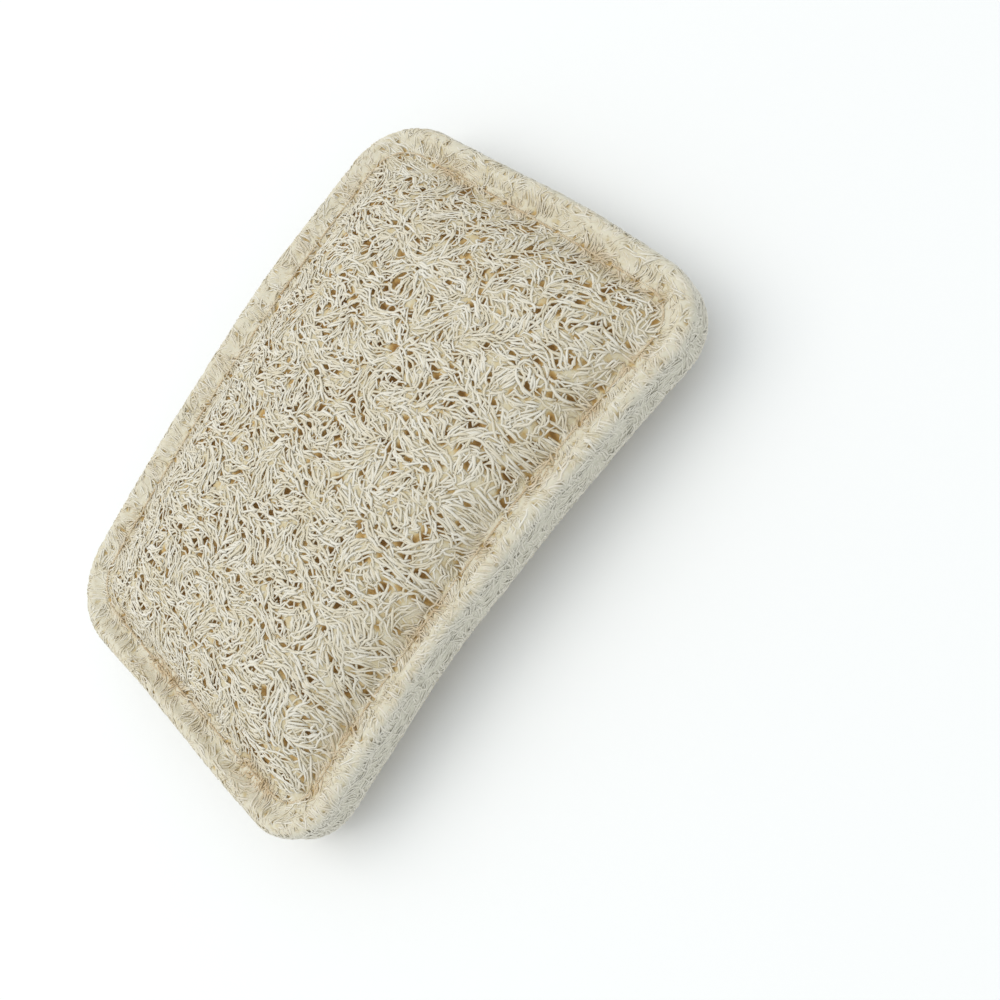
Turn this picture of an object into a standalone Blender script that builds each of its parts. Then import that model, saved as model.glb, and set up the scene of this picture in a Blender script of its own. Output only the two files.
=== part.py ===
"""Natural loofah scrubbing pad: two pressed loofah layers, stitched together all round.

Metres, +Z up.  The length runs along X and the width along Y.  The origin is on the surface that the
pad lies on, under its middle.  Each layer is a flat pattern of net cells, wrapped over the form of the
pad: up the side wall, over the rolled rim, through the stitched groove and over the puffed crown.
The whole pad keeps some of the gourd's curve: it arches along its length.
"""

import math
import random

import bmesh
import bpy
from mathutils import Vector
from mathutils.geometry import delaunay_2d_cdt

MM = 0.001

# The pad's outline, before the hand-cut bows and taper
LENGTH = 130 * MM
WIDTH = 90 * MM
CORNER_RADIUS = 14 * MM
END_BOW = 0.014
SIDE_BOW = -0.01
SIDE_LEAN = 0.055
TAPER = 0.045
EDGE_WOBBLE = 0.4 * MM

# Heights above or below the seam plane where the two layers meet
UPPER_CROWN = 14.3 * MM
LOWER_CROWN = 14.6 * MM
REST_DROP = 13.7 * MM
RIM_HALF = 5.3 * MM
LAYER_GAP = 0.3 * MM
LUMP_HEIGHT = 0.4 * MM
LUMP_LENGTH = 16 * MM

# How far the pad's ends hang below the top of its arch
ARCH = 3.1 * MM
SEAM_STRIPS = 12

# The rolled rim and the stitched groove, measured inwards from the outline
EDGE_RADIUS = 2.6 * MM
SEAM_RETURN = 0.9 * MM
GROOVE_OUTER = 5 * MM
GROOVE_INNER = 8 * MM
GROOVE_LINE = (GROOVE_OUTER + GROOVE_INNER) / 2
GROOVE_DEPTH = 2 * MM
CROWN_RAMP = 7.5 * MM

# The raised net of fibres: ridges on the form, with a sunk floor in each cell between them
CELL = 5.85 * MM
LINE_PITCH = CELL * math.sqrt(3) / 2
FIRST_ROW = 2.1 * MM
FIELD_START = 6.2 * MM
RIM_ROWS = 3
RIM_CELLS = 66
FLOOR_SHARE = 0.66
NET_DEPTH = 1.6 * MM
GROOVE_NET_DEPTH = 0.9 * MM
DEPTH_SPREAD = 0.3
ROW_JITTER = 0.26
FIELD_JITTER = 0.30
SWIRL = 0.62
SWIRL_SLANT = 0.45
SWIRL_PITCH = 4.4 * MM
SWIRL_FADE = 6 * MM
SHORTEST_RIDGE = 0.8 * MM
FLUSH_RADIUS = 8.5 * MM

# The stitching: a needle thread above and a bobbin thread below
STITCHES = 54
THREAD_RADIUS = 0.4 * MM
THREAD_CLEARANCE = 0.45 * MM
THREAD_DIP = 0.6 * MM

ARC = EDGE_RADIUS * math.pi / 2
WALL = RIM_HALF - EDGE_RADIUS - LAYER_GAP / 2
WRAP = ARC + WALL
CORE_X = LENGTH / 2 - CORNER_RADIUS
CORE_Y = WIDTH / 2 - CORNER_RADIUS
GROOVE_FLOOR = RIM_HALF - GROOVE_DEPTH

LOOFAH_COLOUR = (0.78, 0.70, 0.55, 1.0)
UNDER_COLOUR = (0.74, 0.66, 0.51, 1.0)
THREAD_COLOUR = (0.83, 0.74, 0.60, 1.0)


def clamp(value, limit):
    return max(-limit, min(limit, value))


def from_core(x, y):
    """The nearest point of the core rectangle, and the way and distance from it to (x, y)."""
    nearest = Vector((clamp(x, CORE_X), clamp(y, CORE_Y)))
    away = Vector((x, y)) - nearest
    return nearest, away, away.length


def inset_of(x, y):
    """How far (x, y) lies inside the pad's outline.  It is negative on the part that wraps the wall."""
    away = from_core(x, y)[2]
    if away > 0:
        return CORNER_RADIUS - away
    return min(LENGTH / 2 - abs(x), WIDTH / 2 - abs(y))


def ring_length(inset):
    corner = max(CORNER_RADIUS - inset, 0)
    straight = 2 * (LENGTH + WIDTH - 4 * inset) - 8 * corner
    return straight + 2 * math.pi * corner


def ring_point(inset, share):
    """The point at this share of the way round the outline's offset curve, from the middle of +X."""
    corner = max(CORNER_RADIUS - inset, 0)
    half_x = LENGTH / 2 - inset
    half_y = WIDTH / 2 - inset
    run = (share % 1.0) * ring_length(inset)
    legs = (
        (half_y - corner, Vector((half_x, 0)), 0),
        (half_x * 2 - corner * 2, Vector((half_x - corner, half_y)), 90),
        (half_y * 2 - corner * 2, Vector((-half_x, half_y - corner)), 180),
        (half_x * 2 - corner * 2, Vector((-half_x + corner, -half_y)), 270),
        (half_y - corner, Vector((half_x, -half_y + corner)), 360),
    )
    quarter = corner * math.pi / 2
    for straight, start, heading in legs:
        turn = math.radians(heading)
        outward = Vector((math.cos(turn), math.sin(turn)))
        along = Vector((-outward.y, outward.x))
        if run <= straight:
            return start + along * run
        run -= straight
        if run <= quarter:
            angle = run / corner
            centre = start + along * straight - outward * corner
            return centre + corner * (outward * math.cos(angle) + along * math.sin(angle))
        run -= quarter
    return Vector((half_x, 0))


def crown_share(x, y):
    """0 at the groove, rising to nearly 1 over the middle of the pad."""
    from_end = max(LENGTH / 2 - abs(x) - GROOVE_INNER, 0)
    from_side = max(WIDTH / 2 - abs(y) - GROOVE_INNER, 0)
    return (1 - math.exp(-from_end / CROWN_RAMP)) * (1 - math.exp(-from_side / CROWN_RAMP))


def lumps(x, y, phase):
    """The soft unevenness of a hand-made pad, between -1 and 1."""
    return math.sin(x / LUMP_LENGTH + phase) * math.cos(y / LUMP_LENGTH - phase)


def height(x, y, crown, phase):
    """How far the layer's outer surface stands from the seam plane, inside the rolled edge."""
    inset = inset_of(x, y)
    if inset < GROOVE_OUTER:
        fall = (inset - EDGE_RADIUS) / (GROOVE_OUTER - EDGE_RADIUS)
        return RIM_HALF - GROOVE_DEPTH * (0.5 - 0.5 * math.cos(math.pi * max(fall, 0)))
    share = crown_share(x, y)
    return GROOVE_FLOOR + (crown - GROOVE_FLOOR + LUMP_HEIGHT * lumps(x, y, phase)) * share


def cut_by_hand(x, y, phase):
    """Bows the sides and ends, narrows the pad towards -X and makes its edge slightly uneven."""
    along = x / (LENGTH / 2)
    across = y / (WIDTH / 2)
    bow = (SIDE_BOW + SIDE_LEAN * across) * (1 - along * along)
    shaped = Vector((
        x * (1 + END_BOW * (1 - across * across)),
        y * (1 + bow) * (1 + TAPER * along) - SIDE_LEAN * WIDTH / 4,
    ))
    angle = math.atan2(y, x)
    uneven = math.sin(5 * angle + phase) + math.sin(9 * angle - 2 * phase) / 2
    fade = max(0.0, 1 - max(inset_of(x, y), 0) / GROOVE_OUTER)
    return shaped * (1 + uneven * fade * EDGE_WOBBLE / (LENGTH / 2))


def on_layer(x, y, side, crown, phase):
    """Wraps a point of the flat pattern onto a layer.  side is 1 for the upper one, -1 for the lower."""
    nearest, away, distance = from_core(x, y)
    past_rim = distance - (CORNER_RADIUS - EDGE_RADIUS)
    if past_rim <= 0:
        plan = Vector((x, y))
        up = height(x, y, crown, phase)
    else:
        turn = min(past_rim / EDGE_RADIUS, math.pi / 2)
        down_wall = max(past_rim - ARC, 0)
        reach = CORNER_RADIUS - EDGE_RADIUS * (1 - math.sin(turn)) - SEAM_RETURN * (down_wall / WALL) ** 2
        plan = nearest + away.normalized() * reach
        up = RIM_HALF - EDGE_RADIUS * (1 - math.cos(turn)) - down_wall
    if side < 0:
        up = min(up, REST_DROP)
    shaped = cut_by_hand(plan.x, plan.y, phase)
    return Vector((shaped.x, shaped.y, REST_DROP + side * up))


def arch(place):
    """Lowers a point by the pad's arch, but not into the surface that the pad lies on."""
    drop = ARCH * (place.x / (LENGTH / 2)) ** 2
    return Vector((place.x, place.y, max(place.z - drop, 0)))


def row_insets():
    """Where the borders between the rows of cells lie on the wall and rim, from the seam inwards."""
    width = (WRAP - EDGE_RADIUS + GROOVE_OUTER) / RIM_ROWS
    return [EDGE_RADIUS - WRAP + width * row for row in range(RIM_ROWS + 1)]


def cell_centres(draw):
    """Points of the flat pattern that the net's cells grow round, and how many of them get a cell."""
    borders = row_insets()
    row_width = borders[1] - borders[0]
    rows = [(inset + row_width / 2, RIM_CELLS, ROW_JITTER) for inset in borders[:-1]]
    rows.append((GROOVE_LINE, STITCHES, 0))
    first = GROOVE_INNER + FIRST_ROW
    rows.append((first, round(ring_length(first) / CELL), ROW_JITTER))
    centres = []
    for row, (inset, count, jitter) in enumerate(rows):
        for n in range(count):
            share = (n + 0.5 * (row % 2) + draw.uniform(-jitter, jitter)) / count
            centres.append(ring_point(inset, share))
    lines = round(WIDTH / 2 / LINE_PITCH)
    columns = round(LENGTH / 2 / CELL)
    for line in range(-lines, lines + 1):
        for column in range(-columns, columns + 1):
            x = (column + 0.5 * (line % 2) + draw.uniform(-FIELD_JITTER, FIELD_JITTER)) * CELL
            y = (line + draw.uniform(-FIELD_JITTER, FIELD_JITTER)) * LINE_PITCH
            if inset_of(x, y) > GROOVE_INNER + FIELD_START:
                centres.append(Vector((x, y)))
    with_cells = len(centres)
    beyond = borders[0] - row_width / 2
    centres += [ring_point(beyond, n / RIM_CELLS) for n in range(RIM_CELLS)]
    return centres, with_cells


def straighten(corner, kinds):
    """Moves a cell corner that two rows share onto their border, and tells whether it did."""
    if "beyond" in kinds and "row" in kinds:
        target = row_insets()[0]
    elif "groove" in kinds and "row" in kinds:
        target = GROOVE_OUTER
    elif "groove" in kinds and "field" in kinds:
        target = GROOVE_INNER
    else:
        return corner, False
    nearest, away, _ = from_core(corner.x, corner.y)
    return nearest + away.normalized() * (CORNER_RADIUS - target), True


def swirl(point, turn):
    """Drags the net of the crown into curving streams, which lengthens its cells along them."""
    x, y = point
    room = max(inset_of(x, y) - GROOVE_INNER, 0)
    reach = SWIRL * SWIRL_PITCH * (1 - math.exp(-((room / SWIRL_FADE) ** 2)))
    x += reach * math.sin((y + SWIRL_SLANT * x) / SWIRL_PITCH + turn)
    y += reach * math.sin((x - SWIRL_SLANT * y) / SWIRL_PITCH - turn)
    return Vector((x, y))


def merge_short_ridges(corners, straightened, cells):
    """Leaves one corner where two of a cell lie very near each other, the straightened one if any."""
    kept = list(range(len(corners)))
    for _, ring in cells:
        for one, two in zip(ring, ring[1:] + ring[:1]):
            one, two = kept[one], kept[two]
            if one == two or (corners[one] - corners[two]).length > SHORTEST_RIDGE:
                continue
            stays, goes = (two, one) if straightened[two] else (one, two)
            kept = [stays if k == goes else k for k in kept]
    return [(kind, list(dict.fromkeys(kept[c] for c in ring))) for kind, ring in cells]


def kind_of(n, with_cells):
    if n >= with_cells:
        return "beyond"
    if n < RIM_ROWS * RIM_CELLS:
        return "row"
    if n < RIM_ROWS * RIM_CELLS + STITCHES:
        return "groove"
    return "field"


def net_cells(draw):
    """The net as corner points and, for each cell, its kind and its corners' numbers in order."""
    centres, with_cells = cell_centres(draw)
    points, _, triangles, numbers, _, _ = delaunay_2d_cdt(centres, [], [], 0, 1e-7)
    corners = []
    straightened = []
    around = {}
    for triangle in triangles:
        own = [numbers[n][0] for n in triangle]
        middle = sum((points[n] for n in triangle), Vector((0, 0))) / 3
        kinds = {kind_of(n, with_cells) for n in own}
        for n in own:
            around.setdefault(n, []).append(len(corners))
        corner, moved = straighten(middle, kinds)
        corners.append(corner)
        straightened.append(moved)
    cells = []
    for n in range(with_cells):
        centre = centres[n]
        ring = sorted(
            around[n], key=lambda c: math.atan2(corners[c].y - centre.y, corners[c].x - centre.x)
        )
        cells.append((kind_of(n, with_cells), ring))
    turn = draw.uniform(0, 6)
    corners = [swirl(corner, turn) for corner in corners]
    return corners, merge_short_ridges(corners, straightened, cells)


def sink(bm, depths):
    """Insets each cell and sinks its floor, which leaves a ridge of fibres along its border."""
    bmesh.ops.inset_individual(bm, faces=list(depths), thickness=0, depth=0)
    for face, depth in depths.items():
        middle = face.calc_center_median()
        down = face.normal * -depth
        for vert in face.verts:
            vert.co = middle.lerp(vert.co, FLOOR_SHARE) + down


def close_seam(bm):
    """Closes the seam side with a face, cut in strips across the pad so that it can follow the arch."""
    seam = [edge for edge in bm.edges if edge.is_boundary]
    strips = bmesh.ops.contextual_create(bm, geom=seam)["faces"]
    for n in range(1, SEAM_STRIPS):
        place = Vector((LENGTH * (n / SEAM_STRIPS - 0.5), 0, 0))
        parts = set(strips)
        for face in strips:
            parts.update(face.edges, face.verts)
        cut = bmesh.ops.bisect_plane(bm, geom=list(parts), plane_co=place, plane_no=(1, 0, 0))
        strips = list({item for item in cut["geom"] if isinstance(item, bmesh.types.BMFace)})


def material(name, colour, roughness):
    made = bpy.data.materials.new(name)
    made.use_nodes = True
    shader = made.node_tree.nodes["Principled BSDF"]
    shader.inputs["Base Color"].default_value = colour
    shader.inputs["Roughness"].default_value = roughness
    shader.inputs["Metallic"].default_value = 0.0
    made.diffuse_color = colour
    return made


def add_layer(name, side, crown, phase, seed, finish, collection):
    """One pressed loofah layer: a closed solid with the net raised on its outside, flat at the seam."""
    draw = random.Random(seed)
    corners, cells = net_cells(draw)
    bm = bmesh.new()
    verts = [bm.verts.new(on_layer(c.x, c.y, side, crown, phase)) for c in corners]
    depths = {}
    for kind, ring in cells:
        face = bm.faces.new([verts[c] for c in ring[::side]])
        resting = side < 0 and face.calc_center_median().xy.length < FLUSH_RADIUS
        if kind == "groove":
            depths[face] = GROOVE_NET_DEPTH
        elif not resting:
            depths[face] = NET_DEPTH * draw.uniform(1 - DEPTH_SPREAD, 1)
    bm.normal_update()
    sink(bm, depths)
    bmesh.ops.delete(bm, geom=[v for v in verts if not v.link_faces], context="VERTS")
    close_seam(bm)
    for vert in bm.verts:
        vert.co = arch(vert.co)
    mesh = bpy.data.meshes.new(name)
    bm.to_mesh(mesh)
    bm.free()
    mesh.materials.append(finish)
    layer = bpy.data.objects.new(name, mesh)
    collection.objects.link(layer)
    return layer


def add_thread(name, side, finish, collection):
    """One stitching thread: it crosses a ridge and dips into a groove cell at every stitch."""
    curve = bpy.data.curves.new(name, "CURVE")
    curve.dimensions = "3D"
    curve.bevel_depth = THREAD_RADIUS
    curve.bevel_resolution = 0
    curve.use_fill_caps = True
    spline = curve.splines.new("POLY")
    spline.points.add(STITCHES * 2 - 1)
    for n, point in enumerate(spline.points):
        place = ring_point(GROOVE_LINE, (n + RIM_ROWS % 2) / 2 / STITCHES)
        shaped = cut_by_hand(place.x, place.y, 0)
        in_cell = n % 2 == 0
        lift = THREAD_CLEARANCE + THREAD_RADIUS - (THREAD_DIP if in_cell else 0)
        place = arch(Vector((shaped.x, shaped.y, REST_DROP + side * (GROOVE_FLOOR + lift))))
        point.co = (*place, 1)
    spline.use_cyclic_u = True
    curve.materials.append(finish)
    thread = bpy.data.objects.new(name, curve)
    collection.objects.link(thread)
    return thread


def build():
    for old in list(bpy.data.objects):
        bpy.data.objects.remove(old)
    pad = bpy.data.collections.new("loofah_pad")
    bpy.context.scene.collection.children.link(pad)
    loofah = material("pressed_loofah", LOOFAH_COLOUR, 0.85)
    underside = material("pressed_loofah_under", UNDER_COLOUR, 0.85)
    cotton = material("stitching_thread", THREAD_COLOUR, 0.75)
    add_layer("upper_layer", 1, UPPER_CROWN, 0.6, 11, loofah, pad)
    add_layer("lower_layer", -1, LOWER_CROWN, 2.4, 29, underside, pad)
    add_thread("needle_thread", 1, cotton, pad)
    add_thread("bobbin_thread", -1, cotton, pad)


build()
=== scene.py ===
import math

import bpy
import numpy as np
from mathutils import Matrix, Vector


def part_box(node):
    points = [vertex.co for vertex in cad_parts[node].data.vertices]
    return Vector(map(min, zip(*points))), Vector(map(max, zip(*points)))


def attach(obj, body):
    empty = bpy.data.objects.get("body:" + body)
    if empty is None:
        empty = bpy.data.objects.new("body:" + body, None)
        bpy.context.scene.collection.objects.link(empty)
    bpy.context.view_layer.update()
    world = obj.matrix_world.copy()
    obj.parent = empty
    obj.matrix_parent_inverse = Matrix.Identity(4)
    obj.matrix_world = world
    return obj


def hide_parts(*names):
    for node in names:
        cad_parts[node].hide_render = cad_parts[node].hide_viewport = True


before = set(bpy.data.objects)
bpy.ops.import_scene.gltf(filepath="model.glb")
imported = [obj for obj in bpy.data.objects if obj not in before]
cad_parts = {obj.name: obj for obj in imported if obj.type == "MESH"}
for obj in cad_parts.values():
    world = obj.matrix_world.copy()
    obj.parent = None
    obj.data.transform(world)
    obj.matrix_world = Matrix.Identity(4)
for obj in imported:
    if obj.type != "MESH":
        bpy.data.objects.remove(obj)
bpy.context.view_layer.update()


# Camera, light and floor.  The pad lies on a plain pale floor.  The camera stands over its near right
# side, a little turned, and a wide soft light hangs over the far left, so the near side wall is in shade.
MM = 0.001
LENS = 40.3
CAMERA_PLACE = (0.02563, -0.14004, 0.19001)
CAMERA_TURN = (16.664, 27.067, -49.237)
FLOOR_SIZE = 6.0
FLOOR_HEX = "F7F7F6"
DAYLIGHT_HEX = "F1F6F9"
KEY_HEX = "FFFAF2"


def linear(hex_colour):
    """An sRGB hex colour as linear RGBA."""
    parts = [int(hex_colour[n:n + 2], 16) / 255 for n in (0, 2, 4)]
    return tuple(p / 12.92 if p <= 0.04045 else ((p + 0.055) / 1.055) ** 2.4 for p in parts) + (1.0,)


def add_node(material, kind, settings=None, links=None):
    """Adds a node.  settings go to its sockets or its own fields, links are (socket, other's output)."""
    node = material.node_tree.nodes.new(kind)
    for name, value in (settings or {}).items():
        if name in node.inputs:
            node.inputs[name].default_value = value
        else:
            setattr(node, name, value)
    for socket, output in (links or {}).items():
        material.node_tree.links.new(output, node.inputs[socket])
    return node


bpy.ops.object.select_all(action="DESELECT")
bpy.ops.object.camera_add(location=CAMERA_PLACE, rotation=[math.radians(a) for a in CAMERA_TURN])
camera = bpy.context.object
camera.data.lens = LENS
camera.data.clip_start = 0.01
bpy.context.scene.camera = camera
bpy.context.scene.view_settings.view_transform = "Standard"

bpy.ops.mesh.primitive_plane_add(size=FLOOR_SIZE)
floor = bpy.context.object
floor.name = "floor"
paper = bpy.data.materials.new("matt_studio_paper")
paper.use_nodes = True
paper_shader = paper.node_tree.nodes["Principled BSDF"]
paper_shader.inputs["Base Color"].default_value = linear(FLOOR_HEX)
paper_shader.inputs["Roughness"].default_value = 0.9
floor.data.materials.append(paper)

daylight = bpy.data.worlds.new("soft_daylight")
daylight.use_nodes = True
daylight.node_tree.nodes["Background"].inputs["Color"].default_value = linear(DAYLIGHT_HEX)
daylight.node_tree.nodes["Background"].inputs["Strength"].default_value = 0.93
bpy.context.scene.world = daylight

bpy.ops.object.light_add(type="AREA", location=(-0.30, 0.40, 0.85))
key = bpy.context.object
key.data.size = 0.9
key.data.energy = 3.6
key.data.color = linear(KEY_HEX)[:3]
key.rotation_euler = (-key.location).to_track_quat("-Z", "Y").to_euler()


# Pressed mats.  Each half of the pad is a thick piece of dried loofah, cut open and pressed, with a
# rolled rim, a sewn-down groove and a puffed crown.  This is its dense inner mass, which fills the space
# between the surface fibres.  Painted shade darkens its colour to golden brown at the bottom of the holes in the
# net.
LENGTH = 130 * MM
WIDTH = 90 * MM
CORNER_RADIUS = 14 * MM
END_BOW = 0.014
SIDE_BOW = -0.01
SIDE_LEAN = 0.055
TAPER = 0.045
ARCH = 3.1 * MM
EDGE_WOBBLE = 0.4 * MM
EDGE_PHASE = 1.5
RIM_HALF = 5.3 * MM
EDGE_RADIUS = 2.6 * MM
SEAM_RETURN = 0.15 * MM
GROOVE_OUTER = 5 * MM
GROOVE_INNER = 8 * MM
GROOVE_LINE = (GROOVE_OUTER + GROOVE_INNER) / 2
GROOVE_DEPTH = 2 * MM
FAR_GROOVE = 0.4
CROWN_RAMP = 7.5 * MM
LUMP_HEIGHT = 0.4 * MM
LUMP_LENGTH = 16 * MM
MAT_PITCH = 0.55 * MM
MAT_DEPTH = (0.13 * MM, 0.27 * MM)
MAT_RELIEF = 0.03 * MM
HOLES_PER_MM2 = 0.11
HOLE_SPACING = 1.8 * MM
HOLE_HALF = 0.32 * MM
HOLE_DEPTH = 2.4
PRICK_HALF = 0.22 * MM
STITCHES = 54

SEAM_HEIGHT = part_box("lower_layer")[1][2] + 0.15 * MM
LAYER_GAP = 0.1 * MM
ARC = EDGE_RADIUS * math.pi / 2
WALL = RIM_HALF - EDGE_RADIUS - LAYER_GAP / 2
WRAP = ARC + WALL - EDGE_RADIUS
HALF = np.array((LENGTH, WIDTH)) / 2
CORE = HALF - CORNER_RADIUS
LAYERS = {
    "upper": {"side": 1, "crown": 14.3 * MM, "phase": 0.6, "seed": 21},
    "lower": {"side": -1, "crown": 14.6 * MM, "phase": 2.4, "seed": 22},
}


def from_core(plan):
    """The nearest point of the pad's straight-sided core, and the way and distance from it."""
    nearest = np.clip(plan, -CORE, CORE)
    away = plan - nearest
    return nearest, away, np.linalg.norm(away, axis=-1)


def inset_of(plan):
    """How far points of the flat pattern lie inside the outline, and below 0 where they wrap the wall."""
    distance = from_core(plan)[2]
    return np.where(distance > 0, CORNER_RADIUS - distance, (HALF - np.abs(plan)).min(-1))


def smooth_step(value):
    value = np.clip(value, 0, 1)
    return value * value * (3 - 2 * value)


def on_layer(plan, layer):
    """Wraps points of the flat pattern over the crown, groove, rim and side wall of a layer."""
    nearest, away, distance = from_core(plan)
    room = np.maximum(HALF - np.abs(plan) - GROOVE_INNER, 0)
    share = np.prod(1 - np.exp(-room / CROWN_RAMP), axis=-1)
    phase = layer["phase"]
    lump = np.sin(plan[..., 0] / LUMP_LENGTH + phase) * np.cos(plan[..., 1] / LUMP_LENGTH - phase)
    depth = GROOVE_DEPTH * (1 - (1 - FAR_GROOVE) * smooth_step(4 * plan[..., 1] / HALF[1] - 2.6))
    groove_floor = RIM_HALF - depth
    puffed = groove_floor + (layer["crown"] - groove_floor + LUMP_HEIGHT * lump) * share
    fall = np.clip((CORNER_RADIUS - distance - EDGE_RADIUS) / (GROOVE_OUTER - EDGE_RADIUS), 0, 1)
    rim = RIM_HALF - depth * (0.5 - 0.5 * np.cos(math.pi * fall))
    up = np.where(inset_of(plan) > GROOVE_OUTER, puffed, rim)
    past_rim = distance - (CORNER_RADIUS - EDGE_RADIUS)
    turn = np.clip(past_rim / EDGE_RADIUS, 0, math.pi / 2)
    down = np.maximum(past_rim - ARC, 0)
    wrapped = CORNER_RADIUS - EDGE_RADIUS * (1 - np.sin(turn)) - SEAM_RETURN * (down / WALL) ** 2
    reach = np.where(past_rim > 0, wrapped, distance)
    up = np.where(past_rim > 0, RIM_HALF - EDGE_RADIUS * (1 - np.cos(turn)) - down, up)
    flat = nearest + away * (reach / np.maximum(distance, 1e-9))[..., None]
    along, across = flat[..., 0] / HALF[0], flat[..., 1] / HALF[1]
    x = flat[..., 0] * (1 + END_BOW * (1 - across ** 2))
    bow = (SIDE_BOW + SIDE_LEAN * across) * (1 - along ** 2)
    y = flat[..., 1] * (1 + bow) * (1 + TAPER * along) - SIDE_LEAN * WIDTH / 4
    angle = np.arctan2(flat[..., 1], flat[..., 0])
    uneven = np.sin(5 * angle + EDGE_PHASE) + np.sin(9 * angle - 2 * EDGE_PHASE) / 2
    fade = np.clip(1 - np.maximum(inset_of(flat), 0) / GROOVE_OUTER, 0, 1)
    grow = 1 + uneven * fade * EDGE_WOBBLE / HALF[0]
    z = SEAM_HEIGHT + layer["side"] * up - ARCH * (x * grow / HALF[0]) ** 2
    return np.stack((x * grow, y * grow, np.maximum(z, 0)), -1)


def outward(plan, layer):
    """The layer's outward normals at points of the flat pattern."""
    step = 0.2 * MM
    along = on_layer(plan + (step, 0), layer) - on_layer(plan - (step, 0), layer)
    across = on_layer(plan + (0, step), layer) - on_layer(plan - (0, step), layer)
    normal = np.cross(along, across) * layer["side"]
    return normal / np.linalg.norm(normal, axis=-1, keepdims=True)


def round_core(share, corner, radius):
    """Points at this radius round the pad's core, by their share of a way round it of another radius."""
    stops = np.array((
        (1, 0, 0), (1, 1, 0), (1, 1, 1), (-1, 1, 1), (-1, 1, 2), (-1, -1, 2), (-1, -1, 3), (1, -1, 3),
        (1, -1, 4), (1, 0, 4),
    )) * (*CORE, math.pi / 2)
    legs = np.abs(np.diff(stops, axis=0)) @ (1, 1, corner)
    run = np.concatenate(([0], np.cumsum(legs)))
    x, y, turn = (np.interp(share % 1 * run[-1], run, stop) for stop in stops.T)
    return np.stack((x + radius * np.cos(turn), y + radius * np.sin(turn)), -1), run[-1]


def waves(draw, length, count=9):
    """A smooth random field over the flat pattern, as a sum of waves of about this length."""
    turn = draw.uniform(0, 2 * math.pi, count)
    number = 2 * math.pi / (length * draw.uniform(0.7, 1.4, count))
    phase = draw.uniform(0, 2 * math.pi, count)
    kx, ky = number * np.cos(turn), number * np.sin(turn)
    return lambda plan: np.sin(
        plan[..., :1] * kx + plan[..., 1:] * ky + phase
    ).sum(-1) * math.sqrt(2 / count)


def looseness(plan):
    """1 on the crown, and 0 over the rim and wall, where the net is pressed close together."""
    return smooth_step((inset_of(plan) - 4 * MM) / (7 * MM))


def wall_share(inset):
    """1 on the side wall, from half way round the rounded edge, and 0 on the face."""
    return smooth_step((0.9 * MM - inset) / (1.8 * MM))


def grain_of(draw, length, lean, strength):
    """A random heading for the fibres over the flat pattern.  On the rim it turns towards the edge."""
    first, second = waves(draw, length), waves(draw, length)

    def grain(plan):
        nearest, away, distance = from_core(plan)
        edge = 2 * np.arctan2(away[..., 1], away[..., 0])
        pull = 0.5 * smooth_step((distance - 6 * MM) / (4 * MM))
        return 0.5 * np.arctan2(
            second(plan) + strength * math.sin(2 * lean) + pull * np.sin(edge),
            first(plan) + strength * math.cos(2 * lean) + pull * np.cos(edge),
        )

    return grain


def add_holes(draw):
    """Places and half-widths of the holes in the net, smaller on the rim, and of the needle's pricks."""
    reach = HALF + WRAP
    count = round(4 * np.prod(reach) / MM ** 2 * HOLES_PER_MM2)
    places = []
    for place in draw.uniform(-reach, reach, (count * 6, 2)):
        if len(places) < count and all(math.dist(place, other) > HOLE_SPACING for other in places):
            places.append(place)
    places = np.array(places)
    widths = HOLE_HALF * np.clip(draw.normal(1, 0.35, len(places)), 0.4, 1.8)
    widths *= 0.4 + 0.6 * looseness(places)
    radius = CORNER_RADIUS - GROOVE_LINE
    pricks = round_core(np.arange(STITCHES) / STITCHES, radius, radius)[0]
    return np.concatenate((places, pricks)), np.append(widths, np.full(STITCHES, PRICK_HALF))


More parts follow.
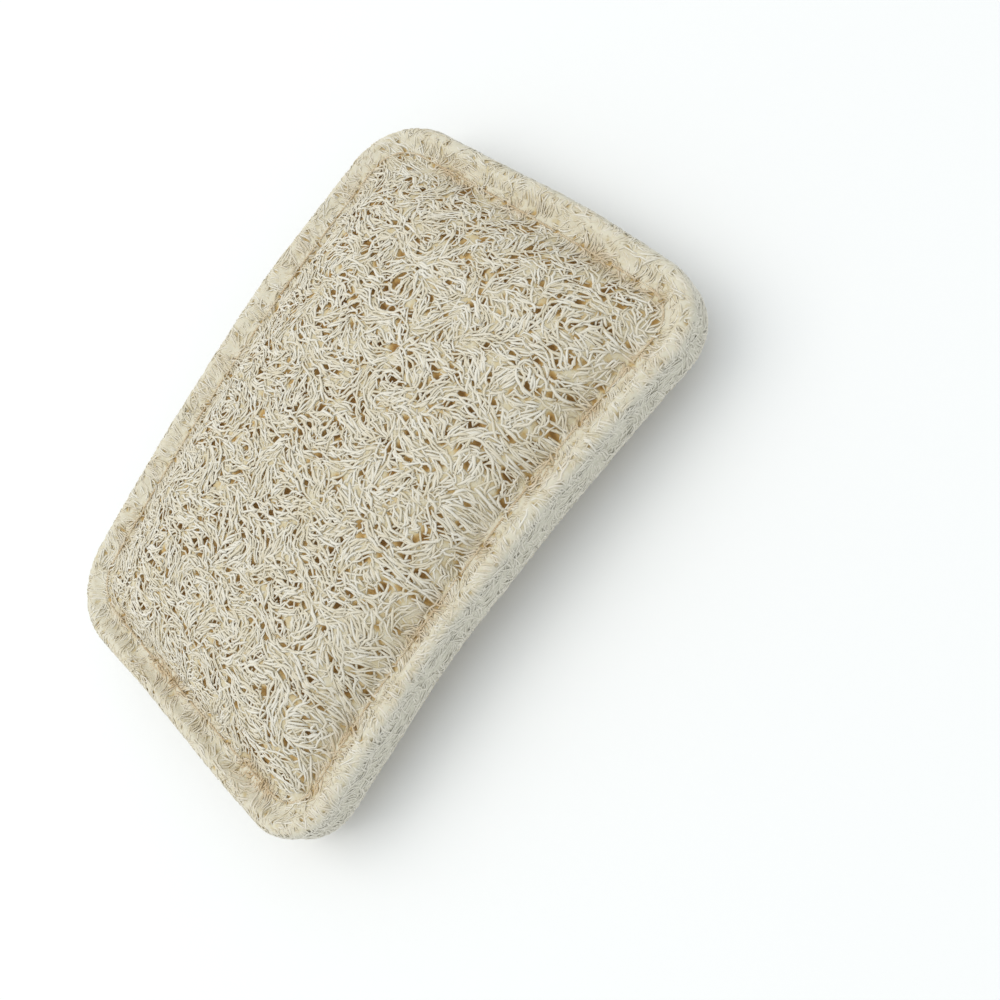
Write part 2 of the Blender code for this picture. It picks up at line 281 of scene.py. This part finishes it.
def add_mat(name, layer, holes, grain, draw):
    size = 2 * (HALF + WRAP)
    cuts = [round(s / MAT_PITCH) for s in size]
    bpy.ops.mesh.primitive_grid_add(x_subdivisions=cuts[0], y_subdivisions=cuts[1], size=2)
    mat = bpy.context.object
    mat.name = name
    count = len(mat.data.vertices)
    places = np.empty(count * 3)
    mat.data.vertices.foreach_get("co", places)
    plan = places.reshape(-1, 3)[:, :2] * size / 2
    nearest, away, distance = from_core(plan)
    away *= (np.abs(away).max(-1) / np.maximum(distance, 1e-9))[:, None]
    plan = nearest + away
    heading = grain(plan)
    hollow = np.zeros(count)
    for place, width in zip(*holes):
        way = plan - place
        close = np.nonzero(np.abs(way).max(-1) < 4 * MM)[0]
        way, turn = way[close], heading[close]
        along = way[:, 0] * np.cos(turn) + way[:, 1] * np.sin(turn)
        across = way[:, 1] * np.cos(turn) - way[:, 0] * np.sin(turn)
        dip = width * np.exp(-(along / (2 * width + 0.3 * MM)) ** 2 - (across / (width + 0.3 * MM)) ** 2)
        hollow[close] = np.maximum(hollow[close], dip)
    coarse, fine = waves(draw, 5 * MM), waves(draw, 1.7 * MM)
    sunk = MAT_DEPTH[0] + (MAT_DEPTH[1] - MAT_DEPTH[0]) * looseness(plan)
    sunk += MAT_RELIEF * (coarse(plan) + fine(plan)) + HOLE_DEPTH * hollow
    sunk *= smooth_step((inset_of(plan) + WRAP) / (0.8 * MM))
    places = on_layer(plan, layer) - outward(plan, layer) * sunk[:, None]
    mat.data.vertices.foreach_set("co", places.ravel())
    for label, values in (("depth", sunk / MM), ("wall", wall_share(inset_of(plan)))):
        mat.data.attributes.new(label, "FLOAT", "POINT").data.foreach_set("value", values)
    bpy.ops.object.mode_set(mode="EDIT")
    bpy.ops.mesh.select_all(action="DESELECT")
    bpy.ops.mesh.select_non_manifold()
    bpy.ops.mesh.edge_face_add()
    bpy.ops.mesh.select_all(action="SELECT")
    bpy.ops.mesh.normals_make_consistent(inside=False)
    bpy.ops.object.mode_set(mode="OBJECT")
    bpy.ops.object.shade_smooth_by_angle(angle=math.radians(60))
    return mat


# Loofah pith: matt, dry and tan.  Painted shade darkens it with depth, golden and then brown down in the
# holes, and leaves it paler on the rim, where it lies shallower.  On the side wall a cool grey tint is painted
# shade.
pith = bpy.data.materials.new("dried_loofah_pith")
pith.use_nodes = True
pith_shader = pith.node_tree.nodes["Principled BSDF"]
pith_place = add_node(pith, "ShaderNodeTexCoord")
pith_depth = add_node(pith, "ShaderNodeAttribute", {"attribute_name": "depth"})
pith_noise = add_node(
    pith, "ShaderNodeTexNoise", {"Scale": 1 / (0.9 * MM), "Detail": 3.0},
    {"Vector": pith_place.outputs["Object"]},
)
pith_uneven = add_node(pith, "ShaderNodeMath", {"operation": "MULTIPLY_ADD"})
pith.node_tree.links.new(pith_noise.outputs["Fac"], pith_uneven.inputs[0])
pith_uneven.inputs[1].default_value = 0.5
pith.node_tree.links.new(pith_depth.outputs["Fac"], pith_uneven.inputs[2])
pith_range = add_node(
    pith, "ShaderNodeMapRange", {"From Max": 1.5}, {"Value": pith_uneven.outputs["Value"]},
)
# Painted shade: the pith's pale tan darkens to golden brown and brown with its depth below the surface, deepest
# in the holes.
pith_tan_and_depth_shade = add_node(pith, "ShaderNodeValToRGB", links={"Fac": pith_range.outputs["Result"]})
pith_tan_and_depth_shade.color_ramp.elements[0].position = 0.24
pith_tan_and_depth_shade.color_ramp.elements[0].color = linear("DBD4BF")
pith_tan_and_depth_shade.color_ramp.elements[1].position = 0.9
pith_tan_and_depth_shade.color_ramp.elements[1].color = linear("A57E46")
for position, colour in ((0.36, "CFC29F"), (0.5, "CDAF76"), (0.68, "C49E5E")):
    pith_tan_and_depth_shade.color_ramp.elements.new(position).color = linear(colour)
# Painted shade: a cool grey tint on the pith of the side wall.
pith_wall = add_node(pith, "ShaderNodeAttribute", {"attribute_name": "wall"})
pith_wall_shade = add_node(pith, "ShaderNodeMix", {"data_type": "RGBA"})
pith.node_tree.links.new(pith_tan_and_depth_shade.outputs["Color"], pith_wall_shade.inputs[6])
pith_wall_shade.inputs[7].default_value = linear("CCC8B8")
pith.node_tree.links.new(pith_wall.outputs["Fac"], pith_wall_shade.inputs[0])
pith.node_tree.links.new(pith_wall_shade.outputs[2], pith_shader.inputs["Base Color"])
pith_bump = add_node(
    pith, "ShaderNodeBump", {"Strength": 0.6, "Distance": 0.15 * MM}, {"Height": pith_noise.outputs["Fac"]},
)
pith.node_tree.links.new(pith_bump.outputs["Normal"], pith_shader.inputs["Normal"])
pith_shader.inputs["Roughness"].default_value = 0.85


# The net.  Each layer's skin is the gourd's own net of stiff fibres.  They run in short curved strokes,
# part round the holes and grow into each other, over finer ones that cross below them.  They are curves
# with a bevel, turned to meshes and flattened: thousands of bent fibres are no work for a primitive.
FIBRE_STEP = 0.3 * MM
FIBRE_HALF_WIDTH = 0.25 * MM
FIBRE_HALF_HEIGHT = 0.14 * MM
FIBRE_BEND = 0.05
CELL = 0.1 * MM
SIDES = 4


def disc(radius, columns):
    """Offsets of a round brush on the raster that keeps the fibres apart."""
    reach = int(radius / CELL) + 1
    steps = range(-reach, reach + 1)
    return np.array([i * columns + j for i in steps for j in steps if math.hypot(i, j) * CELL < radius])


def grow_fibres(draw, half, grain, allowed, gap, touch, lengths, swerve, run_on, tries_per_mm2=9):
    """Grows fibres over a flat rectangle.  Each follows the grain until it meets another and joins it."""
    border = 20
    counts = (2 * half / CELL).astype(int) + 2 * border
    columns = int(counts[1])
    centres = [(np.arange(n) - border + 0.5) * CELL - h for n, h in zip(counts, half)]
    coarse = 4
    rough = np.stack(np.meshgrid(centres[0][::coarse], centres[1][::coarse], indexing="ij"), -1)
    turn = grain(rough).tolist()
    shut = ~allowed(rough) | (np.abs(rough) > half).any(-1)
    shut = np.repeat(np.repeat(shut, coarse, 0), coarse, 1)[:counts[0], :counts[1]].ravel()
    crowded, near = shut.copy(), shut.copy()
    small, big = disc(touch, columns), disc(gap, columns)
    tries = round(4 * np.prod(half) / MM ** 2 * tries_per_mm2)
    seeds = draw.uniform(-half, half, (tries, 2)).tolist()
    steps = (draw.uniform(*lengths, tries) / FIBRE_STEP / 2).astype(int).tolist()
    swerves = draw.normal(0, swerve, tries).tolist()
    bends = draw.normal(0, FIBRE_BEND, tries).tolist()
    left, low = border * CELL + half[0], border * CELL + half[1]
    fibres = []
    for (x, y), longest, swerve, bend in zip(seeds, steps, swerves, bends):
        if near[int((x + left) / CELL) * columns + int((y + low) / CELL)]:
            continue
        ends = []
        for sign in (1, -1):
            ahead = turn[int((x + left) / CELL) // coarse][int((y + low) / CELL) // coarse]
            px, py, end, spare = x, y, [], run_on
            while len(end) < longest:
                i, j = int((px + left) / CELL), int((py + low) / CELL)
                way = turn[i // coarse][j // coarse]
                way += round((ahead - way) / math.pi) * math.pi
                ahead = way
                way += swerve + sign * bend * len(end)
                px, py = px + sign * math.cos(way) * FIBRE_STEP, py + sign * math.sin(way) * FIBRE_STEP
                place = int((px + left) / CELL) * columns + int((py + low) / CELL)
                if shut[place]:
                    break
                end.append((px, py))
                if crowded[place]:
                    spare -= 1
                    if spare < 0:
                        break
            ends.append(end)
        fibre = np.array(ends[1][::-1] + [(x, y)] + ends[0])
        if len(fibre) < 4:
            continue
        fibres.append(fibre)
        cells = ((fibre + (left, low)) / CELL).astype(int) @ (columns, 1)
        crowded[(cells[:, None] + small).ravel()] = True
        near[(cells[:, None] + big).ravel()] = True
    return fibres


def part_round_holes(fibres, holes):
    """Bends each fibre round the holes that it would cross, to the side that it passes them on."""
    owner = np.repeat(np.arange(len(fibres)), [len(fibre) for fibre in fibres])
    plan = np.concatenate(fibres)
    heading = np.concatenate([np.gradient(fibre, axis=0) for fibre in fibres])
    heading /= np.maximum(np.linalg.norm(heading, axis=-1, keepdims=True), 1e-9)
    left = np.stack((-heading[:, 1], heading[:, 0]), -1)
    shift = np.zeros(len(plan))
    for place, width in zip(*holes):
        close = np.nonzero(np.abs(plan - place).max(-1) < 3.5 * MM)[0]
        way = plan[close] - place
        across = (way * left[close]).sum(-1)
        along = (way * heading[close]).sum(-1)
        order = np.lexsort((np.linalg.norm(way, axis=-1), owner[close]))
        _, first, group = np.unique(owner[close][order], return_index=True, return_inverse=True)
        side = np.empty(len(close))
        side[order] = np.where(across[order][first] < 0, -1, 1)[group]
        clear = (width + FIBRE_HALF_WIDTH) * np.exp(-(along / (1.6 * width + 0.5 * MM)) ** 2)
        beside = across * side
        shift[close] += side * np.maximum(np.hypot(beside, clear) - np.maximum(beside, -clear), 0)
    plan += left * np.clip(shift, -1.1 * MM, 1.1 * MM)[:, None]
    inner = np.nonzero((owner[1:-1] == owner[:-2]) & (owner[1:-1] == owner[2:]))[0] + 1
    for _ in range(2):
        plan[inner] = plan[inner] / 2 + (plan[inner - 1] + plan[inner + 1]) / 4
    return np.split(plan, np.cumsum([len(fibre) for fibre in fibres])[:-1])


def thin_out(fibres, segment):
    """Spreads fewer points along the fibres.  Gives them in one array, with each fibre's count of them
    and each point's distance from its fibre's nearer end."""
    plans, counts, ends = [], [], []
    for fibre in fibres:
        run = (len(fibre) - 1) * FIBRE_STEP
        count = max(3, round(run / segment) + 1)
        pick = np.linspace(0, len(fibre) - 1, count)
        plans.append(np.stack([np.interp(pick, np.arange(len(fibre)), fibre[:, n]) for n in (0, 1)], -1))
        counts.append(count)
        ends.append(np.minimum(pick, pick[::-1]) * FIBRE_STEP)
    return np.concatenate(plans), np.array(counts), np.concatenate(ends)


def add_fibres(name, places, normals, counts, thick, labels):
    """Joins fibres in one mesh, made from beveled curves, with what the material needs to know."""
    bpy.ops.curve.primitive_bezier_curve_add()
    net = bpy.context.object
    net.name = name
    net.data.splines.clear()
    net.data.dimensions = "3D"
    net.data.bevel_depth = FIBRE_HALF_WIDTH
    net.data.bevel_resolution = 0
    last = np.cumsum(counts) - 1
    first = last - counts + 1
    for start, end in zip(first.tolist(), last.tolist()):
        spline = net.data.splines.new("POLY")
        spline.points.add(end - start)
        points = places[start:end + 1]
        spline.points.foreach_set("co", np.column_stack((points, np.ones(len(points)))).ravel())
    bpy.ops.object.convert(target="MESH")
    net = bpy.context.object
    ahead, behind = np.arange(len(places)) + 1, np.arange(len(places)) - 1
    ahead[last], behind[first] = last, first
    beside = np.cross(places[ahead] - places[behind], normals)
    beside *= (thick * FIBRE_HALF_WIDTH / np.maximum(np.linalg.norm(beside, axis=-1), 1e-9))[:, None]
    above = normals * (thick * FIBRE_HALF_HEIGHT)[:, None]
    rings = np.stack((places + above, places + beside, places - above, places - beside), 1)
    rings[..., 2] = np.maximum(rings[..., 2], 0)
    net.data.vertices.foreach_set("co", rings.ravel())
    bpy.ops.object.mode_set(mode="EDIT")
    bpy.ops.mesh.select_all(action="SELECT")
    bpy.ops.mesh.fill_holes(sides=SIDES)
    bpy.ops.mesh.normals_make_consistent(inside=False)
    bpy.ops.object.mode_set(mode="OBJECT")
    bpy.ops.object.shade_smooth()
    for label, values in labels.items():
        attribute = net.data.attributes.new(label, "FLOAT", "POINT")
        attribute.data.foreach_set("value", np.repeat(values, SIDES))
    return net


def lay_fibres(name, fibres, place_on, level, dive, segment, waviness, draw):
    """Lays grown fibres on the pad: each rises and falls a little, and its ends go in under others."""
    plan, counts, from_end = thin_out(fibres, segment)
    lift, blotch = waviness
    places, normals, loose, inset = place_on(plan)
    tuck = np.clip(1 - from_end / (0.8 * MM), 0, 1)
    high = 0.04 * MM * lift(plan) + np.repeat(draw.normal(0, 0.04 * MM, len(counts)), counts)
    high = level * (0.75 + 0.25 * loose) + high * (0.5 + 0.5 * loose) - dive * tuck ** 1.5
    thick = np.repeat(np.clip(draw.normal(1, 0.14, len(counts)), 0.6, 1.4), counts) * (1 - 0.4 * tuck)
    thick *= 0.8 + 0.2 * loose
    sewn = np.exp(-((inset - GROOVE_LINE) / (1.5 * MM)) ** 2) * (0.5 + 0.5 * np.abs(places[:, 0]) / HALF[0])
    sewn *= 1 - 0.8 * smooth_step(2 * places[:, 1] / HALF[1] - 0.8)
    stain = (0.7 * sewn + 0.12 * (1 - loose)) * np.clip(0.5 + 0.6 * blotch(plan), 0, 1)
    labels = {
        "depth": -high / MM,
        "tone": np.repeat(draw.uniform(0, 1, len(counts)), counts),
        "stain": stain,
        "wall": wall_share(inset),
    }
    return add_fibres(name, places + normals * high[:, None], normals, counts, thick, labels)


# Loofah fibre: dry cellulose, matt with a faint gloss, cream on top, turned tan by painted shade where it dips
# between others.
# Tan stains lie along the sewn groove and in blotches on the rim.
fibre_finish = bpy.data.materials.new("dried_loofah_fibre")
fibre_finish.use_nodes = True
fibre_shader = fibre_finish.node_tree.nodes["Principled BSDF"]
fibre_depth = add_node(fibre_finish, "ShaderNodeAttribute", {"attribute_name": "depth"})
fibre_tone = add_node(fibre_finish, "ShaderNodeAttribute", {"attribute_name": "tone"})
# Painted shade: fibres turn from cream to tan the deeper they lie, between others and where their ends tuck
# under.
fibre_cream_and_depth_shade = add_node(fibre_finish, "ShaderNodeValToRGB", links={"Fac": fibre_depth.outputs["Fac"]})
fibre_cream_and_depth_shade.color_ramp.elements[0].position = 0.1
fibre_cream_and_depth_shade.color_ramp.elements[0].color = linear("EBE6D9")
fibre_cream_and_depth_shade.color_ramp.elements[1].position = 0.9
fibre_cream_and_depth_shade.color_ramp.elements[1].color = linear("D0B074")
for position, colour in ((0.3, "E5DFD0"), (0.5, "DCD2B8")):
    fibre_cream_and_depth_shade.color_ramp.elements.new(position).color = linear(colour)
fibre_tan = add_node(fibre_finish, "ShaderNodeMix", {"data_type": "RGBA", "blend_type": "MULTIPLY"})
fibre_finish.node_tree.links.new(fibre_cream_and_depth_shade.outputs["Color"], fibre_tan.inputs[6])
fibre_tan.inputs[7].default_value = linear("F0EADB")
fibre_finish.node_tree.links.new(fibre_tone.outputs["Fac"], fibre_tan.inputs[0])
fibre_stain = add_node(fibre_finish, "ShaderNodeAttribute", {"attribute_name": "stain"})
fibre_stained = add_node(fibre_finish, "ShaderNodeMix", {"data_type": "RGBA", "blend_type": "MULTIPLY"})
fibre_finish.node_tree.links.new(fibre_tan.outputs[2], fibre_stained.inputs[6])
fibre_stained.inputs[7].default_value = linear("DCBE8C")
fibre_finish.node_tree.links.new(fibre_stain.outputs["Fac"], fibre_stained.inputs[0])
# Painted shade: a cool grey tint on the fibres of the side wall.
fibre_wall = add_node(fibre_finish, "ShaderNodeAttribute", {"attribute_name": "wall"})
fibre_wall_shade = add_node(fibre_finish, "ShaderNodeMix", {"data_type": "RGBA"})
fibre_finish.node_tree.links.new(fibre_stained.outputs[2], fibre_wall_shade.inputs[6])
fibre_wall_shade.inputs[7].default_value = linear("DDD8CA")
fibre_finish.node_tree.links.new(fibre_wall.outputs["Fac"], fibre_wall_shade.inputs[0])
fibre_finish.node_tree.links.new(fibre_wall_shade.outputs[2], fibre_shader.inputs["Base Color"])
fibre_shader.inputs["Roughness"].default_value = 0.62

CROSSING = {
    "gap": 1.0 * MM, "touch": 0.42 * MM, "lengths": (2.5 * MM, 6 * MM), "swerve": 0.3, "run_on": 9,
}
STROKES = {
    "gap": 0.40 * MM, "touch": 0.27 * MM, "lengths": (2 * MM, 6 * MM), "swerve": 0.32, "run_on": 2,
}
PRESSED = {
    "gap": 0.37 * MM, "touch": 0.24 * MM, "lengths": (2 * MM, 6 * MM), "swerve": 0.35, "run_on": 1,
}
SEAM_WANDER = 0.8 * MM
WALL_SPAN = 1.8 * MM
for layer_name, slot, segment in (("upper", "loofah", 1.0 * MM), ("lower", "loofah_under", 1.3 * MM)):
    layer = LAYERS[layer_name]
    draw = np.random.default_rng(layer["seed"])
    grain = grain_of(draw, 11 * MM, math.radians(85), 0.5)
    holes = add_holes(draw)
    mat = add_mat(f"{layer_name}_mat", layer, holes, grain, draw)
    mat.data.materials.append(pith)
    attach(mat, "root")
    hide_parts(f"{layer_name}_layer")

    waviness = waves(draw, 6 * MM), waves(draw, 14 * MM)
    wander = waves(draw, 7 * MM)
    line = lambda plan: GROOVE_LINE + SEAM_WANDER * wander(plan)
    place_on = lambda plan: (on_layer(plan, layer), outward(plan, layer), looseness(plan), inset_of(plan))
    across = lambda plan: grain(plan) + 1.3
    reach = HALF + WRAP
    few = [part[::2] for part in holes]
    on_crown = lambda plan: inset_of(plan) > line(plan)
    on_rim = lambda plan: (inset_of(plan) <= line(plan)) & (inset_of(plan) > WALL_SPAN - WRAP)
    for zone, allowed, habit in (("crown", on_crown, STROKES), ("rim", on_rim, PRESSED)):
        crossing = part_round_holes(grow_fibres(draw, reach, across, allowed, **CROSSING), few)
        strokes = part_round_holes(grow_fibres(draw, reach, grain, allowed, **habit), holes)
        for name, group, level, dive in (
            ("crossing_fibres", crossing, -0.27 * MM, 0.05 * MM), ("fibres", strokes, -0.10 * MM, 0.14 * MM),
        ):
            name = f"{layer_name}_{zone}_{name}"
            net = lay_fibres(name, group, place_on, level, dive, segment, waviness, draw)
            net.data.materials.append(fibre_finish)
            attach(net, "root")


# The side wall.  At the seam the two layers are felted together by sewing and pressing, so that short
# flat fibres cross from one to the other all round the pad and hide the seam.
WALL_BAND = 3.4 * MM
WALL_FIBRES = {
    "gap": 0.42 * MM, "touch": 0.22 * MM, "lengths": (1.5 * MM, 5 * MM), "swerve": 0.7, "run_on": 3,
}


def on_wall(strip):
    """Wraps points of a flat strip round the pad, its middle line on the seam."""
    share = strip[..., 0] / WALL_LENGTH + 0.5
    plan = round_core(share, CORNER_RADIUS, CORNER_RADIUS + WRAP - np.abs(strip[..., 1]))[0]
    upper, above = LAYERS["upper"], (strip[..., 1] > 0)[..., None]
    lower = LAYERS["lower"]
    places = np.where(above, on_layer(plan, upper), on_layer(plan, lower))
    normals = np.where(above, outward(plan, upper), outward(plan, lower))
    return places, normals, looseness(plan), inset_of(plan)


draw = np.random.default_rng(23)
WALL_LENGTH = round_core(np.zeros(1), CORNER_RADIUS, CORNER_RADIUS)[1]
strip_half = np.array((WALL_LENGTH / 2, WALL_BAND))
first, second = waves(draw, 9 * MM), waves(draw, 9 * MM)
wall_grain = lambda strip: 0.5 * np.arctan2(second(strip), first(strip) + 0.4)
on_strip = lambda strip: np.abs(strip[..., 1]) < WALL_BAND
grown = grow_fibres(draw, strip_half, wall_grain, on_strip, **WALL_FIBRES)
wall_net = lay_fibres(
    "side_wall_fibres", grown, on_wall, -0.08 * MM, 0.08 * MM, 1.0 * MM,
    (waves(draw, 5 * MM), waves(draw, 14 * MM)), draw,
)
wall_net.data.materials.append(fibre_finish)
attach(wall_net, "root")


# The stitching.  A two-ply cotton thread joins the layers in the groove: one row of lock stitches shows
# on each face, pulled down into the net at every prick of the needle.
POINTS_PER_STITCH = 22
TWIST_PITCH = 1.5 * MM
PLY_RADIUS = 0.15 * MM
PLY_OFFSET = 0.12 * MM
STITCH_LIFT = -0.08 * MM
STITCH_DIP = 1.1 * MM
DIP_LENGTH = 0.45 * MM

# Undyed cotton thread: soft, matt and warm cream, a little darker than the fibres.
cotton = bpy.data.materials.new("undyed_cotton_thread")
cotton.use_nodes = True
cotton_shader = cotton.node_tree.nodes["Principled BSDF"]
cotton_place = add_node(cotton, "ShaderNodeTexCoord")
cotton_noise = add_node(
    cotton, "ShaderNodeTexNoise", {"Scale": 1 / (2.5 * MM), "Detail": 2.0},
    {"Vector": cotton_place.outputs["Object"]},
)
cotton_ramp = add_node(cotton, "ShaderNodeValToRGB", links={"Fac": cotton_noise.outputs["Fac"]})
cotton_ramp.color_ramp.elements[0].position = 0.35
cotton_ramp.color_ramp.elements[0].color = linear("CDB795")
cotton_ramp.color_ramp.elements[1].position = 0.65
cotton_ramp.color_ramp.elements[1].color = linear("DFD2B8")
cotton.node_tree.links.new(cotton_ramp.outputs["Color"], cotton_shader.inputs["Base Color"])
cotton_shader.inputs["Roughness"].default_value = 0.8

for name, node, layer in (
    ("needle_stitches", "needle_thread", LAYERS["upper"]), ("bobbin_stitches", "bobbin_thread", LAYERS["lower"]),
):
    count = STITCHES * POINTS_PER_STITCH
    radius = CORNER_RADIUS - GROOVE_LINE
    plan, length = round_core(np.arange(count) / count, radius, radius)
    places, normals = on_layer(plan, layer), outward(plan, layer)
    stitch = length / STITCHES
    from_prick = np.abs((np.arange(count) / POINTS_PER_STITCH + 0.5) % 1 - 0.5) * stitch
    high = STITCH_LIFT - STITCH_DIP * np.exp(-(from_prick / DIP_LENGTH) ** 2)
    places += normals * high[:, None]
    ahead = np.roll(places, -1, 0) - np.roll(places, 1, 0)
    beside = np.cross(ahead, normals)
    beside /= np.linalg.norm(beside, axis=-1, keepdims=True)
    turn = np.arange(count) / count * 2 * math.pi * round(length / TWIST_PITCH)
    bpy.ops.curve.primitive_bezier_curve_add()
    thread = bpy.context.object
    thread.name = name
    thread.data.splines.clear()
    thread.data.dimensions = "3D"
    thread.data.bevel_depth = PLY_RADIUS
    thread.data.bevel_resolution = 0
    for start in (0, math.pi):
        ply = places + PLY_OFFSET * (
            normals * np.cos(turn + start)[:, None] + beside * np.sin(turn + start)[:, None]
        )
        spline = thread.data.splines.new("POLY")
        spline.points.add(count - 1)
        spline.points.foreach_set("co", np.column_stack((ply, np.ones(count))).ravel())
        spline.use_cyclic_u = True
    bpy.ops.object.convert(target="MESH")
    thread = bpy.context.object
    bpy.ops.object.shade_smooth()
    thread.data.materials.append(cotton)
    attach(thread, "root")
    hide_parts(node)
